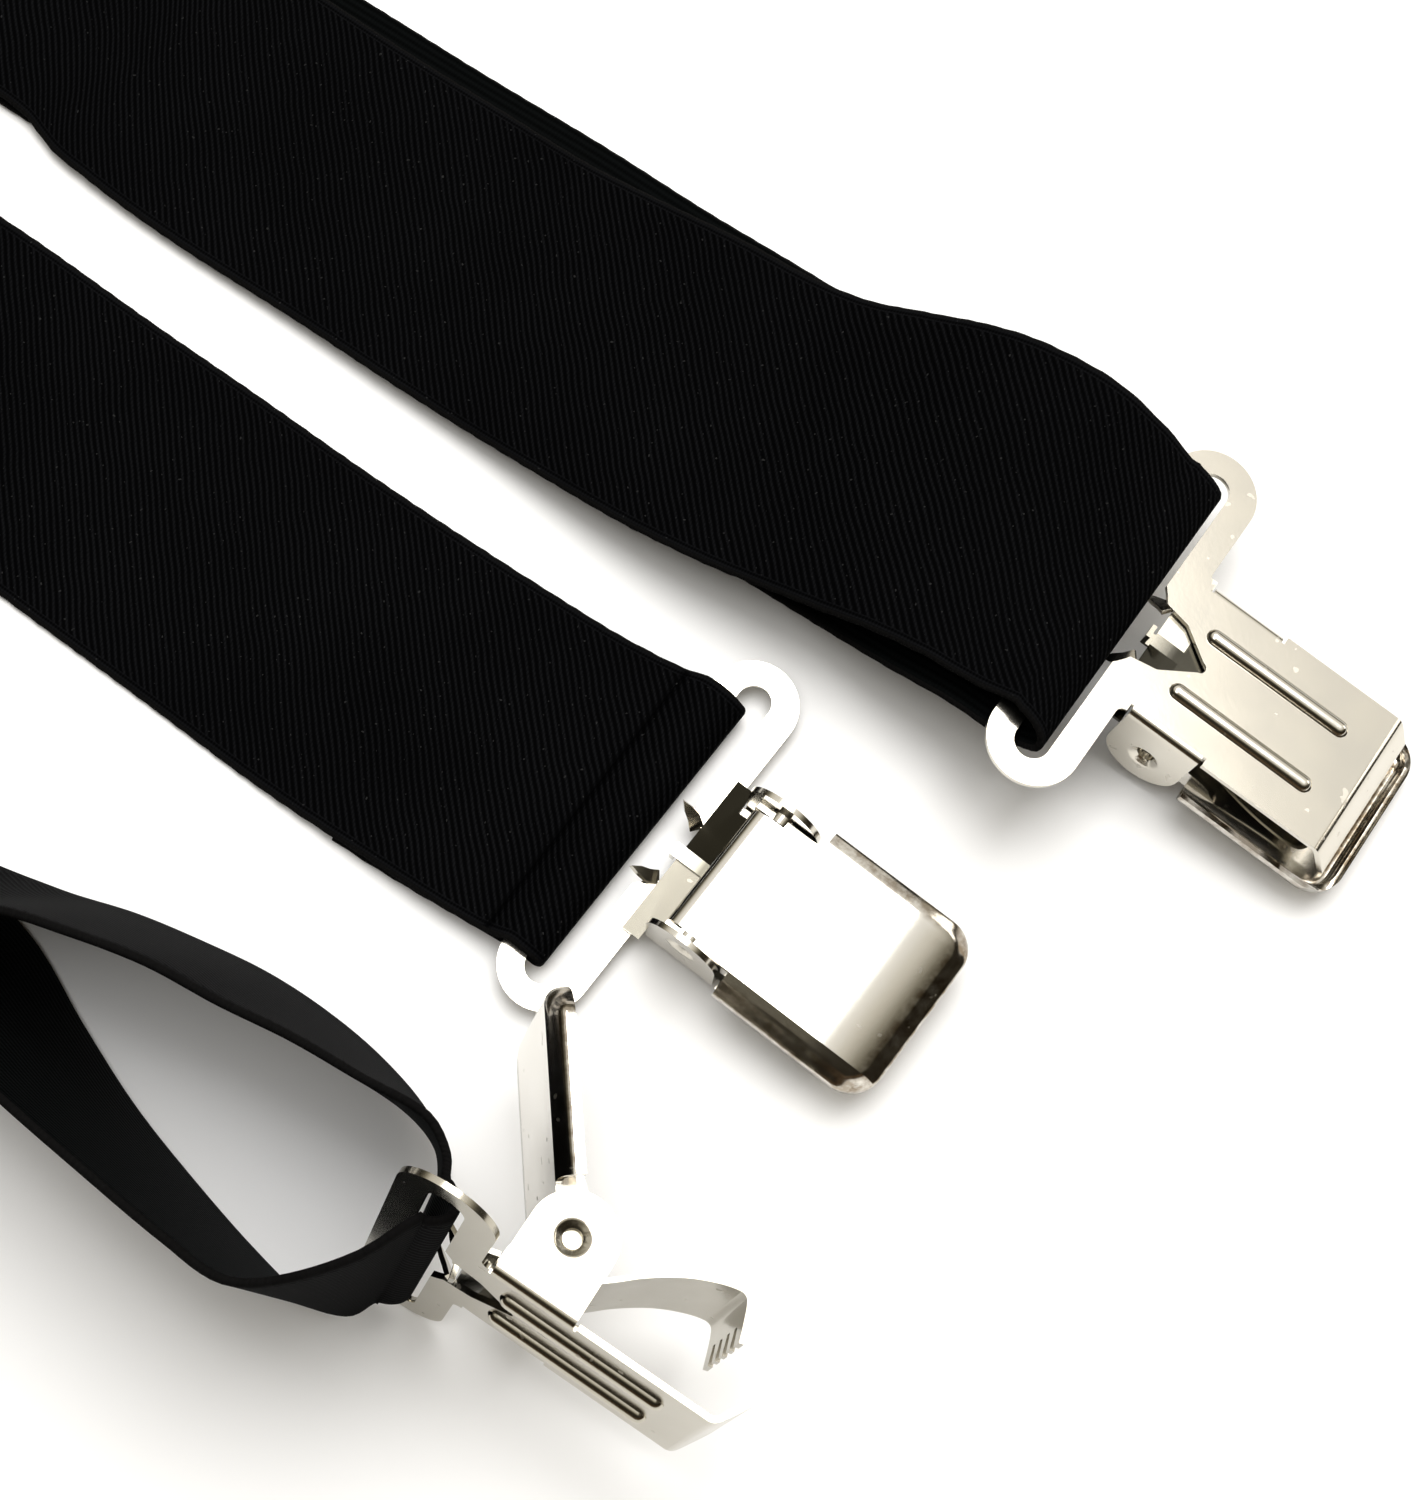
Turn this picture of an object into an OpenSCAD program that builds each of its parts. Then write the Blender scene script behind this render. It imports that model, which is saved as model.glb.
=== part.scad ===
// Y-back suspenders: three elastic straps sewn into a yoke patch, each ending in
// a sprung steel lever clip, with a slide adjuster on both front straps.
// The set lies on a table, folded at the shoulders: +X points along the straps
// to the clips, +Z is up, and Z = 0 is the table.

/* [Webbing] */
// Width of the elastic webbing
strap_w = 50; // [46:0.5:50]
// Thickness of the webbing
strap_t = 1.2; // [0.8:0.1:1.2]
// Radius of the webbing's middle layer where it wraps a clip bar
wrap_r = 3.1; // [3.0:0.1:3.2]

/* [Clip] */
// Thickness of the clip's sheet steel
sheet = 0.9; // [0.8:0.1:1.0]
// Length of the strap ring across the clip
ring_len = 64.2; // [63:0.2:66]
// Width of the strap ring along the clip
ring_w = 14.3; // [14:0.1:15]
// Width of the bar that the strap wraps
bar_w = 4.2; // [3.8:0.1:4.2]
// Width of the clip body
body_w = 25.4; // [25:0.2:26]
// Distance from the wrapped bar to the body's jaw end
body_end = 46.9; // [46:0.1:48]
// Width of the lever cover
cover_w = 29.9; // [29:0.1:31]
// Distance from the wrapped bar to the closed cover's end
cover_end = 53.5; // [53:0.1:55]
// Opening angle of the lever
lever_travel = 127; // [100:1:127]
// Opening angle of the toothed jaw
jaw_travel = 15.4; // [10:0.2:15.4]

/* [Slide] */
// Length of the slide adjuster across the strap
slide_len = 60; // [59:0.5:64]
// Width of the slide adjuster along the strap
slide_w = 30; // [29:0.5:32]
// Thickness of the slide adjuster
slide_t = 1.5; // [1.2:0.1:1.6]

/* [Yoke patch] */
// Angle of each shoulder strap from the rear strap's line
shoulder_angle = 29.1; // [28:0.1:30]
// Thickness of the patch's leather
leather_t = 1.2; // [1.0:0.1:1.4]

/* [Hidden] */
$fn = 48;

// Moves the laid-out set so that the origin is under its middle
table_shift = [187.3, 28.0, 0];

// A pose is a place and the turns about X, Y and Z, in that order
rear_pose = [[-3.6, -16.4, 3.9], [0, 3.2, -1.1]];
right_pose = [[35, 48.3, 18.8], [173.4, 6.8, 0]];
left_pose = [[11.3, -84.5, 32.2], [-103, 7.3, 2.9]];

// Clip: distances along the clip are from the wrapped bar's centre line
ring_x = ring_w / 2 - 2.25;
ring_front = ring_x + ring_w / 2;
slot_w = 5.4;
slot_x = bar_w / 2 + slot_w / 2;
slot_len = 56.4;
pivot = [19.9, 9.0];
ear_r = 6.13;
boss_r = 1.9;
hole_r = boss_r + 0.05;
jaw_root = [11.8, 1.2];
jaw_t = 0.7;
jaw_w = 20.4;
jaw_wing_w = 28;
neck_w = 22.8;
neck_end = 27.4;
cover_top = 10.65;
rim_r = 2.4;
corner_r = 5;

// Table layout
flat_z = strap_t / 2 + 0.1;
yoke = [-300, -28];
apex_x = -285;
fold_x = -450;
fold_r = 4.5;
slide_x = -200;
front_y = 73.5;
slide_z = 3.35;

// ---------- vectors and routes ----------
function unit(v) = v / norm(v);
function rot_x(a, v) = [v[0], v[1] * cos(a) - v[2] * sin(a), v[1] * sin(a) + v[2] * cos(a)];
function rot_y(a, v) = [v[0] * cos(a) + v[2] * sin(a), v[1], v[2] * cos(a) - v[0] * sin(a)];
function rot_z(a, v) = [v[0] * cos(a) - v[1] * sin(a), v[0] * sin(a) + v[1] * cos(a), v[2]];
function turned(pose, v) = rot_z(pose[1][2], rot_y(pose[1][1], rot_x(pose[1][0], v)));
function placed(pose, v) = pose[0] + turned(pose, v);
function bank(b) = [0, cos(b), sin(b)];

// Point between b and c on a curve through a, b, c and d, with the three gaps' lengths
function between(a, b, c, d, gaps, t) =
    let (
        leave = (c - a) * gaps[1] / (gaps[0] + gaps[1]),
        arrive = (d - b) * gaps[1] / (gaps[1] + gaps[2]),
        u = 1 - t
    )
    b * u * u * (1 + 2 * t) + leave * t * u * u + c * t * t * (3 - 2 * t) - arrive * t * t * u;
function station(r, i) = r[max(0, min(len(r) - 1, i))];
function gaps(points, i) = [for (k = [-1 : 1]) norm(station(points, i + k + 1) - station(points, i + k))];

// Curve through a line of points, k steps to each gap
function curve(line, k) = [
    for (i = [0 : len(line) - 2])
        for (j = [0 : k - 1])
            between(station(line, i - 1), line[i], line[i + 1], station(line, i + 2), gaps(line, i), j / k),
    line[len(line) - 1]
];

// Curve through route stations, each [centre, width direction]
function smooth(r, k) =
    let (centres = [for (s = r) s[0]])
    [
        for (i = [0 : len(r) - 2])
            for (j = [0 : k - 1])
                [for (c = [0, 1])
                    between(station(r, i - 1)[c], r[i][c], r[i + 1][c], station(r, i + 2)[c],
                        gaps(centres, i), j / k)],
        r[len(r) - 1]
    ];

// A flat band of webbing along a route: it is straight along each width direction
module ribbon(route, width, thick) {
    last = len(route) - 1;
    points = [
        for (i = [0 : last])
            let (
                p = route[i][0] + table_shift,
                before = route[max(i, 1)][0] - route[max(i, 1) - 1][0],
                after = route[min(i, last - 1) + 1][0] - route[min(i, last - 1)][0],
                t = unit(unit(before) + unit(after)),
                d = unit(route[i][1]),
                w = d * width / 2 / norm(d - (d * t) * t),
                n = unit(cross(t, d)) * thick / 2
            )
            each [p - w - n, p + w - n, p + w + n, p - w + n]
    ];
    // The two broad faces are split along the same diagonal, so that a twisted band keeps its thickness
    sides = [
        for (i = [0 : last - 1])
            for (j = [0 : 3])
                let (a = 4 * i + j, b = 4 * i + (j + 1) % 4)
                each j == 2 ? [[a, b, a + 4], [b, b + 4, a + 4]] : [[a, b, b + 4], [a, b + 4, a + 4]]
    ];
    end = 4 * last;
    polyhedron(points, concat([[0, 3, 2], [0, 2, 1]], sides,
        [[end, end + 1, end + 2], [end, end + 2, end + 3]]));
}

// How far each strap reaches past its bar, into the ring's slot
rear_reach = 4.15;
front_reach = 6.0;

// Stations around a clip's bar, from one angle to another, in the clip's own plane
function wrap(pose, reach, from, to, offset_from, offset_to, side) = [
    for (i = [0 : 8])
        let (a = from + (to - from) * i / 8, off = offset_from + (offset_to - offset_from) * i / 8)
        [placed(pose, [reach * cos(a), side * off, wrap_r * sin(a)]), turned(pose, [0, side, 0])]
];

// ---------- strap routes ----------
rear_route = concat(
    [
        [[-285, -28, 1.95], bank(0)],
        [[-266, -27.7, 1.95], bank(0)],
        [[-245, -27, 1.1], bank(0)],
        [[-222, -25.8, flat_z], bank(0)],
        [[-185, -23, flat_z], bank(0)],
        [[-147, -20.6, flat_z], bank(0)],
        [[-100, -20.25, flat_z], bank(0)],
        [[-58, -20.2, 0.7], bank(0)],
        [[-44, -20.0, 1.5], bank(0)],
        [[-34, -19.7, 2.5], bank(0)],
        [[-20, -19.1, 3.7], bank(0)],
        [[-10, -18.1, 4.6], bank(0)]
    ],
    wrap(rear_pose, rear_reach, 112, -112, -1, -1, 1),
    [
        [[-10, -18.0, 3.1], bank(0)],
        [[-20, -19.0, 2.1], bank(0)],
        [[-30, -19.6, 0.9], bank(0)],
        [[-37, -19.9, flat_z], bank(0)]
    ]
);

// Shoulder strap and its fold: side is 1 on the right and -1 on the left. The webbing rolls
// over on a line square to fold_angle, and drifts along that line as it rolls
fold_angle = 162.6;
fold_lean = fold_angle - 180 + shoulder_angle;
front_turn = 180 - fold_angle - fold_lean;
fold_y = (apex_x - fold_x) * tan(shoulder_angle);
function level(side, a) = [cos(a), side * sin(a), 0];
function shoulder_point(side, run, z) = [
    apex_x - run * cos(shoulder_angle), yoke[1] + side * run * sin(shoulder_angle), z];
function fold_station(side, a) = [
    [fold_x, yoke[1] + side * fold_y, flat_z + fold_r + fold_r * sin(a)]
        + fold_r * cos(a) * level(side, fold_angle)
        + fold_r * (90 - a) * PI / 180 * tan(fold_lean) * level(side, fold_angle - 90),
    level(side, fold_angle - 90)
];
function shoulder_route(side, z0) = concat(
    [
        [shoulder_point(side, 14, z0), level(side, 60.9)],
        [shoulder_point(side, 40, z0), level(side, 60.9)],
        [shoulder_point(side, 75, z0), level(side, 60.9)],
        [shoulder_point(side, 110, 2.3), level(side, 61)],
        [shoulder_point(side, 145, 4.2), level(side, 62.5)],
        [shoulder_point(side, 172, 8.0), level(side, 67)]
    ],
    [for (a = [80 : -25 : -70]) fold_station(side, a)]
);
function front_station(side, run, a) = [
    [fold_x, yoke[1] + side * fold_y, flat_z] + fold_r * PI * tan(fold_lean) * level(side, fold_angle - 90)
        + run * level(side, -front_turn),
    level(side, a)
];
function front_start(side) = [
    fold_station(side, -70),
    front_station(side, 10, 75),
    front_station(side, 40, 82),
    front_station(side, 80, 84.3),
    front_station(side, 140, 85),
    front_station(side, 190, 87)
];
// Heights of the strap through a slide: over the end bars, under the middle bar
slide_heights = [[-38, 0.7], [-28, 1.4], [-20, 3.4], [-15.5, 4.95], [-13.2, 5.2], [-11.5, 5.1], [-9.3, 4.2],
    [-7.2, 2.5], [-5, 1.0], [-3, 0.7], [3, 0.7], [5, 1.0], [7.2, 2.5], [9.3, 4.2], [11.5, 5.1],
    [13.2, 5.2], [15.5, 4.95], [20, 3.4], [28, 1.4], [38, 0.7]];
function through_slide(side) = [
    for (h = slide_heights) [[slide_x + h[0], yoke[1] + side * front_y, h[1]], level(side, 90)]];
// Heights of the returning end: over the end bar, round the middle bar and back
return_heights = [[45, 2.0], [32, 3.6], [24, 5.4], [18, 7.2], [13.2, 7.9], [9.5, 7.5], [7, 6.6], [4.5, 5.4],
    [2.4, 4.95], [0, 4.95], [-2.3, 4.9], [-3.6, 4.45], [-3.9, 3.4], [-3.6, 2.35], [-2.3, 1.98], [0, 1.95],
    [2.6, 2.05], [5, 2.9],
    [7.4, 4.5], [9.5, 5.9], [11.5, 6.45], [13.2, 6.55], [18, 5.8], [24, 4.0]];
function return_end(side) = [
    for (h = return_heights) [[slide_x + h[0], yoke[1] + side * front_y, h[1]], level(side, 90)]];

right_front_route = concat(
    front_start(1), through_slide(1),
    [
        [[-135, 46.4, flat_z], bank(0)],
        [[-105, 47.4, flat_z], bank(0)],
        [[-76, 48.3, 0.7], bank(0)],
        [[-55, 48.4, 1.2], bank(0)],
        [[-38, 48.4, 2.6], bank(0)],
        [[-20, 48.0, 5.2], bank(-1)],
        [[0, 47.3, 9.2], bank(-3)],
        [[16, 46.9, 12.6], bank(-5)],
        [[27, 46.8, 14.9], bank(-6.5)]
    ],
    wrap(right_pose, front_reach, 95, 5, -1.5, -0.2, -1)
);
right_return_route = concat(
    wrap(right_pose, front_reach, 5, -95, -0.2, 1.2, -1),
    [
        [[28, 49.5, 23.3], bank(2)],
        [[20, 49.3, 24.4], bank(8)],
        [[10, 48.4, 23.6], bank(10)],
        [[0, 47.0, 21.2], bank(10)],
        [[-10, 45.8, 17.0], bank(7)],
        [[-20, 44.6, 13.2], bank(3)],
        [[-30, 43.9, 10.7], bank(2.5)],
        [[-45, 43.5, 8.4], bank(4)],
        [[-60, 43.2, 5.6], bank(3)],
        [[-75, 43.1, 3.3], bank(0)],
        [[-92, 43.0, 2.5], bank(-0.5)],
        [[-120, 42.4, 2.0], bank(0)],
        [[-142, 43.0, 2.0], bank(0)]
    ],
    return_end(1)
);

// Standing loop on the left: a station gives the lower edge and the bank
function on_edge(x, y, z, b) = [[x, y, z] + bank(b) * strap_w / 2, bank(b)];

// The left front strap turns on to its edge: x, y and bank. The returning layer lies on top of it
rising = [[-153, -76.5, 180], [-148, -76.6, 180], [-137, -76.9, 175], [-126, -77.4, 165],
    [-113, -78.2, 150.5], [-100, -79.1, 136.5], [-90, -79.9, 127.5], [-80, -80.8, 119.5]];
rising_z = 0.8;
layer_gap = 1.9;
function above(b) = layer_gap * [0, sin(b), -cos(b)];
rising_front = [for (r = rising) on_edge(r[0], r[1], rising_z, r[2])];
rising_return = [for (i = [len(rising) - 1 : -1 : 0])
    let (r = rising[i], s = on_edge(r[0], r[1], rising_z, r[2])) [s[0] + above(r[2]), s[1]]];
left_front_route = concat(
    front_start(-1), through_slide(-1), rising_front,
    [
        on_edge(-63, -83.4, flat_z, 110),
        on_edge(-49, -88.6, flat_z, 103),
        on_edge(-35, -93.2, flat_z, 99),
        on_edge(-21, -96.4, flat_z, 96),
        on_edge(-7, -98.9, 0.9, 93.5),
        on_edge(2, -99.6, 1.6, 92),
        on_edge(8.4, -97.4, 2.6, 89),
        [[12.3, -91.5, 29.6], [0.07, 0.09, 1]]
    ],
    wrap(left_pose, front_reach, -60, 0, -1.8, -1, -1)
);
left_return_route = concat(
    wrap(left_pose, front_reach, 0, 60, -1, -0.3, -1),
    [
        [[12.6, -76.4, 29.8], [0.08, 0.12, 1]],
        [[8.7, -72.4, 28.8], [0.04, 0.04, 1]],
        on_edge(0, -69.0, 1.9, 94),
        on_edge(-10.4, -66.7, 1.0, 98),
        on_edge(-21, -66.1, flat_z, 101),
        on_edge(-31.6, -66.8, flat_z, 102),
        on_edge(-42, -68.8, flat_z, 103),
        on_edge(-52.7, -71.4, flat_z, 104.5),
        on_edge(-64, -75.2, flat_z, 109)
    ],
    rising_return, return_end(-1)
);

// ---------- clip ----------
module at(pose) {
    translate(pose[0] + table_shift) rotate(pose[1]) children();
}

// Turns a piece about an axis across the clip, opening being positive
module opened(axis, angle) {
    translate([axis[0], 0, axis[1]]) rotate([0, -angle, 0]) translate([-axis[0], 0, -axis[1]]) children();
}

module stadium(x, width, length) {
    for (s = [-1, 1])
        translate([x, s * (length - width) / 2]) circle(d = width);
    translate([x - width / 2, -(length - width) / 2]) square([width, length - width]);
}

module across(width) {
    rotate([90, 0, 0]) linear_extrude(width, center = true) children();
}

// A strip of even thickness along a line of [x, z] points
function band(line, t) =
    let (
        last = len(line) - 1,
        side = [for (i = [0 : last])
            let (d = unit(line[min(i + 1, last)] - line[max(i - 1, 0)])) [-d[1], d[0]] * t / 2]
    )
    concat([for (i = [0 : last]) line[i] + side[i]], [for (i = [last : -1 : 0]) line[i] - side[i]]);

module window() {
    intersection() {
        translate([-0.9, 0]) circle(r = 11.4, $fn = 96);
        translate([slot_x, -10]) square([10, 20]);
    }
    polygon([[8.8, -5.4], [13.4, -4.5], [18.5, -0.9], [18.5, 0.9], [13.4, 4.5], [8.8, 5.4]]);
    translate([18.3, 0]) circle(r = 0.95);
}

module plate_outline() {
    difference() {
        union() {
            stadium(ring_x, ring_w, ring_len);
            translate([ring_x, -body_w / 2]) square([body_end - ring_x - 0.6, body_w]);
            for (s = [-1, 1])
                translate([ring_front - 0.01, s * (body_w / 2 + 0.6) - 0.6]) square([1.2, 1.2]);
        }
        for (s = [-1, 1]) {
            translate([ring_front + 1.2, s * (body_w / 2 + 1.2)]) circle(r = 1.2);
            translate([pivot[0] - ear_r - 0.5, s * (body_w / 2) - 1.3]) square([2 * ear_r + 1, 2.6]);
        }
        stadium(slot_x, slot_w, slot_len);
        window();
    }
}

module trough(half, r, z0) {
    translate([-half, z0 + r]) square([2 * half, 20]);
    translate([r - half, z0]) square([2 * (half - r), r + 0.5]);
    for (s = [-1, 1])
        translate([s * (half - r), z0 + r]) circle(r = r);
}

module ears() {
    intersection() {
        translate([pivot[0] - ear_r, 0, 0]) rotate([90, 0, 90]) linear_extrude(2 * ear_r)
            difference() {
                trough(body_w / 2, 1.3, -sheet / 2);
                trough(body_w / 2 - sheet, 0.4, sheet / 2);
                translate([-8.5, -3]) square([17, 6]);
            }
        across(body_w + 2) union() {
            translate(pivot) circle(r = ear_r, $fn = 96);
            translate([pivot[0] - ear_r, -1]) square([2 * ear_r, pivot[1] + 1]);
        }
    }
}

// A dimple pressed inwards in an ear: its inside face is the lever's pivot
module dimple_boss(s) {
    translate([pivot[0], s * (body_w / 2 - sheet + 0.05), pivot[1]]) rotate([s * 90, 0, 0])
        cylinder(h = 1.45, r = boss_r);
}

module dimple_hollow(s) {
    translate([pivot[0], s * (body_w / 2 + 0.01), pivot[1]]) rotate([s * 90, 0, 0]) {
        cylinder(h = 0.8, r1 = 2.7, r2 = 1.35);
        cylinder(h = 1.8, r = 1.35);
    }
}

module horn(s) {
    mirror([0, s < 0 ? 1 : 0, 0]) translate([9.3, 5.0, 0.1]) rotate([0, 0, 143]) rotate([0, -38, 0])
        linear_extrude(0.7) polygon([[-0.6, -1.3], [1.8, -1.0], [3.4, -0.1], [4.6, 0.9], [2.8, 1.1],
            [1.2, 0.9], [-0.6, 1.0]]);
}

// A rib pressed outwards on the plate's back, with rounded-off ends
rib_r = 1.4;
rib_ends = [16.4, 41.3];
module rib(s) {
    run = rib_ends[1] - rib_ends[0];
    taper = [[0.5, 0], [1.1, 0.45], [1.33, 0.9], [rib_r, 1.4]];
    intersection() {
        translate([rib_ends[0], s * 5.4, -0.15]) rotate([0, 90, 0]) rotate_extrude()
            polygon(concat([[0, 0]], taper, [for (i = [3 : -1 : 0]) [taper[i][0], run - taper[i][1]]], [[0, run]]));
        translate([rib_ends[0] - 1, -12, -2]) cube([run + 2, 24, 2]);
    }
}

module lip() {
    line = curve([[45.6, 0], [46.6, 0.1], [47.3, 0.7], [48.5, 2.6], [49.8, 4.7]], 3);
    difference() {
        across(body_w) polygon(band(line, sheet));
        for (i = [0 : 15])
            translate([49.9, -12 + i * 1.6, 5.0]) rotate([45, 0, 0]) cube([6, 0.9, 0.9], center = true);
    }
}

module clip_frame() {
    color([0.83, 0.81, 0.76])
    difference() {
        union() {
            linear_extrude(sheet, center = true) plate_outline();
            ears();
            lip();
            for (s = [-1, 1]) {
                dimple_boss(s);
                horn(s);
                rib(s);
            }
        }
        for (s = [-1, 1])
            dimple_hollow(s);
    }
}

module rim_section() {
    intersection() {
        difference() {
            circle(r = rim_r, $fn = 64);
            circle(r = rim_r - sheet, $fn = 64);
        }
        square([rim_r + 1, rim_r + 1]);
    }
    translate([rim_r - sheet, -1.0]) square([sheet, 1.01]);
}

module cover_rim() {
    edge = cover_w / 2;
    run = cover_end - corner_r - neck_end;
    for (s = [-1, 1]) {
        translate([neck_end, s * (edge - rim_r), cover_top - rim_r]) rotate([90, 0, 90])
            linear_extrude(run) mirror([s < 0 ? 1 : 0, 0]) rim_section();
        translate([cover_end - corner_r, s * (edge - corner_r), cover_top - rim_r])
            rotate([0, 0, s > 0 ? 0 : -90]) rotate_extrude(angle = 90, $fn = 96)
                translate([corner_r - rim_r, 0]) rim_section();
    }
    translate([cover_end - rim_r, edge - corner_r, cover_top - rim_r]) rotate([90, 0, 0])
        linear_extrude(cover_w - 2 * corner_r) rim_section();
}

module cover_top_plate() {
    inner = cover_w / 2 - rim_r;
    translate([0, 0, cover_top - sheet]) linear_extrude(sheet) {
        translate([pivot[0] - 1.6, -neck_w / 2]) square([neck_end + 4 - pivot[0], neck_w]);
        translate([neck_end, -inner]) square([cover_end - corner_r - neck_end, 2 * inner]);
        translate([neck_end, corner_r - cover_w / 2])
            square([cover_end - rim_r - neck_end, cover_w - 2 * corner_r]);
        for (s = [-1, 1])
            translate([cover_end - corner_r, s * (cover_w / 2 - corner_r)]) circle(r = corner_r - rim_r);
    }
}

module lever_ears() {
    difference() {
        across(neck_w) intersection() {
            union() {
                translate(pivot) circle(r = 4.2, $fn = 64);
                polygon([[pivot[0], 5.2], [30, 7.4], [33, cover_top - 0.3], [pivot[0] - 1, cover_top - 0.3]]);
            }
            translate([10, 0]) square([30, cover_top - 0.3]);
        }
        across(neck_w - 2 * sheet) translate([10, 0]) square([30, 12]);
    }
}

// Bore in a lever cheek, running on the frame's dimple
module lever_bore(s) {
    translate([pivot[0], s * (neck_w / 2 + 0.5), pivot[1]]) rotate([s * 90, 0, 0])
        cylinder(h = 1.6, r = hole_r);
}

module lever_cam() {
    line = curve([[19.2, 10.2], [17.6, 10.15], [16.5, 9.5], [16.1, 8], [16.4, 6], [17.4, 4.2]], 4);
    across(jaw_w) polygon(band(line, sheet));
}

module clip_lever() {
    color([0.86, 0.85, 0.82])
    difference() {
        union() {
            cover_top_plate();
            cover_rim();
            lever_ears();
            lever_cam();
        }
        for (s = [-1, 1])
            lever_bore(s);
    }
}

module jaw_sheet() {
    line = curve([[13.4, 1.2], [17, 1.3], [20, 1.35], [24, 1.95], [28, 3.6], [32, 5.6], [37, 7.4], [41.5, 8.2],
        [44.6, 8.2], [45.7, 7.6], [46.1, 6.4], [46.3, 4.0], [46.4, 1.5]], 4);
    across(jaw_w) polygon(band(line, jaw_t));
}

module clip_jaw() {
    tooth = jaw_w / 5;
    color([0.8, 0.77, 0.7]) {
        difference() {
            jaw_sheet();
            for (i = [0 : 3])
                translate([44, (i - 1.5) * tooth, 0]) rotate([90, 0, 90])
                    linear_extrude(4) polygon([[-1.5, 0], [1.5, 0], [0.7, 4.2], [-0.7, 4.2]]);
        }
        translate([10.5, -jaw_wing_w / 2, jaw_root[1] - jaw_t / 2]) cube([3, jaw_wing_w, jaw_t]);
        translate([9.2, -1.1, jaw_root[1] + jaw_t / 2 - 0.02]) cube([7, 2.2, 0.6]);
        translate([9.2, -1.1, -0.7]) cube([0.7, 2.2, 2.8]);
    }
}

// ---------- slide adjuster ----------
module slide_outline() {
    end_bar = 3.5;
    side_bar = 4;
    middle_bar = 5;
    slot = (slide_w - 2 * end_bar - middle_bar) / 2;
    r = 3;
    difference() {
        union() {
            square([slide_w - 2 * r, slide_len], center = true);
            square([slide_w, slide_len - 2 * r], center = true);
            for (x = [-1, 1], y = [-1, 1])
                translate([x * (slide_w / 2 - r), y * (slide_len / 2 - r)]) circle(r = r);
        }
        for (s = [-1, 1])
            translate([s * (middle_bar + slot) / 2, 0]) square([slot, slide_len - 2 * side_bar], center = true);
    }
}

module slide_adjuster(side) {
    color([0.78, 0.77, 0.74])
    translate([slide_x, yoke[1] + side * front_y, slide_z] + table_shift)
        linear_extrude(slide_t, center = true) slide_outline();
}

// ---------- stitches ----------
thread = [0.06, 0.06, 0.06];
module stitch_row(length, pitch, thick) {
    count = floor(length / pitch);
    for (i = [0 : count - 1])
        translate([0, (i - (count - 1) / 2) * pitch, 0]) cube([0.6, pitch * 0.75, thick], center = true);
}

module rear_strap_stitches() {
    color(thread) translate([-9, -18.0, 3.9] + table_shift) stitch_row(strap_w - 3, 3, 2 * strap_t + 0.7);
}

module return_stitches(side) {
    color(thread) translate([slide_x + 19.5, yoke[1] + side * front_y, 6.05] + table_shift)
        stitch_row(strap_w - 4, 3, 2 * strap_t + 0.9);
}

module right_return_stitches() { return_stitches(1); }
module left_return_stitches() { return_stitches(-1); }

// ---------- yoke patch ----------
patch_points = [[40, -29], [40, 29], [8, 37], [-30.5, 57.5], [-57, 12], [-48, 0], [-57, -12], [-30.5, -57.5],
    [8, -37]];
patch_front_z = 4.0;

module patch_sheet(z, thick) {
    translate([yoke[0], yoke[1], z] + table_shift) linear_extrude(thick)
        offset(r = 4, $fn = 24) offset(delta = -4) polygon(patch_points);
}

module yoke_patch_front() {
    color([0.09, 0.085, 0.08]) patch_sheet(patch_front_z, leather_t);
}

module yoke_patch_back() {
    color([0.09, 0.085, 0.08]) patch_sheet(0, leather_t);
}

// Stitches along the patch's edge, each one a short bar
module seam(a, b, pitch) {
    count = floor(norm(b - a) / pitch);
    turn = atan2(b[1] - a[1], b[0] - a[0]);
    for (i = [0.5 : count - 0.5])
        translate(a + (b - a) * i / count) rotate(turn) square([pitch * 0.7, 0.6], center = true);
}

module yoke_patch_stitches() {
    inner = [for (p = patch_points) p * 0.91];
    color(thread) translate([yoke[0], yoke[1], patch_front_z + leather_t] + table_shift) linear_extrude(0.35)
        for (i = [0 : len(inner) - 1])
            seam(inner[i], inner[(i + 1) % len(inner)], 4);
}

// ---------- straps ----------
webbing = [0.05, 0.05, 0.055];
function backward(list) = [for (i = [len(list) - 1 : -1 : 0]) list[i]];
module strap(route, k) { color(webbing) ribbon(smooth(route, k), strap_w, strap_t); }

module rear_strap() { strap(rear_route, 2); }
module right_shoulder_strap() { strap(shoulder_route(1, 3.3), 2); }
module left_shoulder_strap() { strap(shoulder_route(-1, 1.95), 2); }
module right_front_strap() { strap(right_front_route, 2); }
module left_front_strap() { strap(left_front_route, 2); }
module right_return_strap() { strap(backward(right_return_route), 2); }
module left_return_strap() { strap(backward(left_return_route), 2); }
module right_slide() { slide_adjuster(1); }
module left_slide() { slide_adjuster(-1); }

// ---------- clips in place: the left clip lies with its lever open ----------
module rear_clip_frame() { at(rear_pose) clip_frame(); }
module rear_clip_lever() { at(rear_pose) clip_lever(); }
module rear_clip_jaw() { at(rear_pose) clip_jaw(); }
module right_clip_frame() { at(right_pose) clip_frame(); }
module right_clip_lever() { at(right_pose) clip_lever(); }
module right_clip_jaw() { at(right_pose) clip_jaw(); }
module left_clip_frame() { at(left_pose) clip_frame(); }
module left_clip_lever() { at(left_pose) opened(pivot, lever_travel) clip_lever(); }
module left_clip_jaw() { at(left_pose) opened(jaw_root, jaw_travel) clip_jaw(); }

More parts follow.
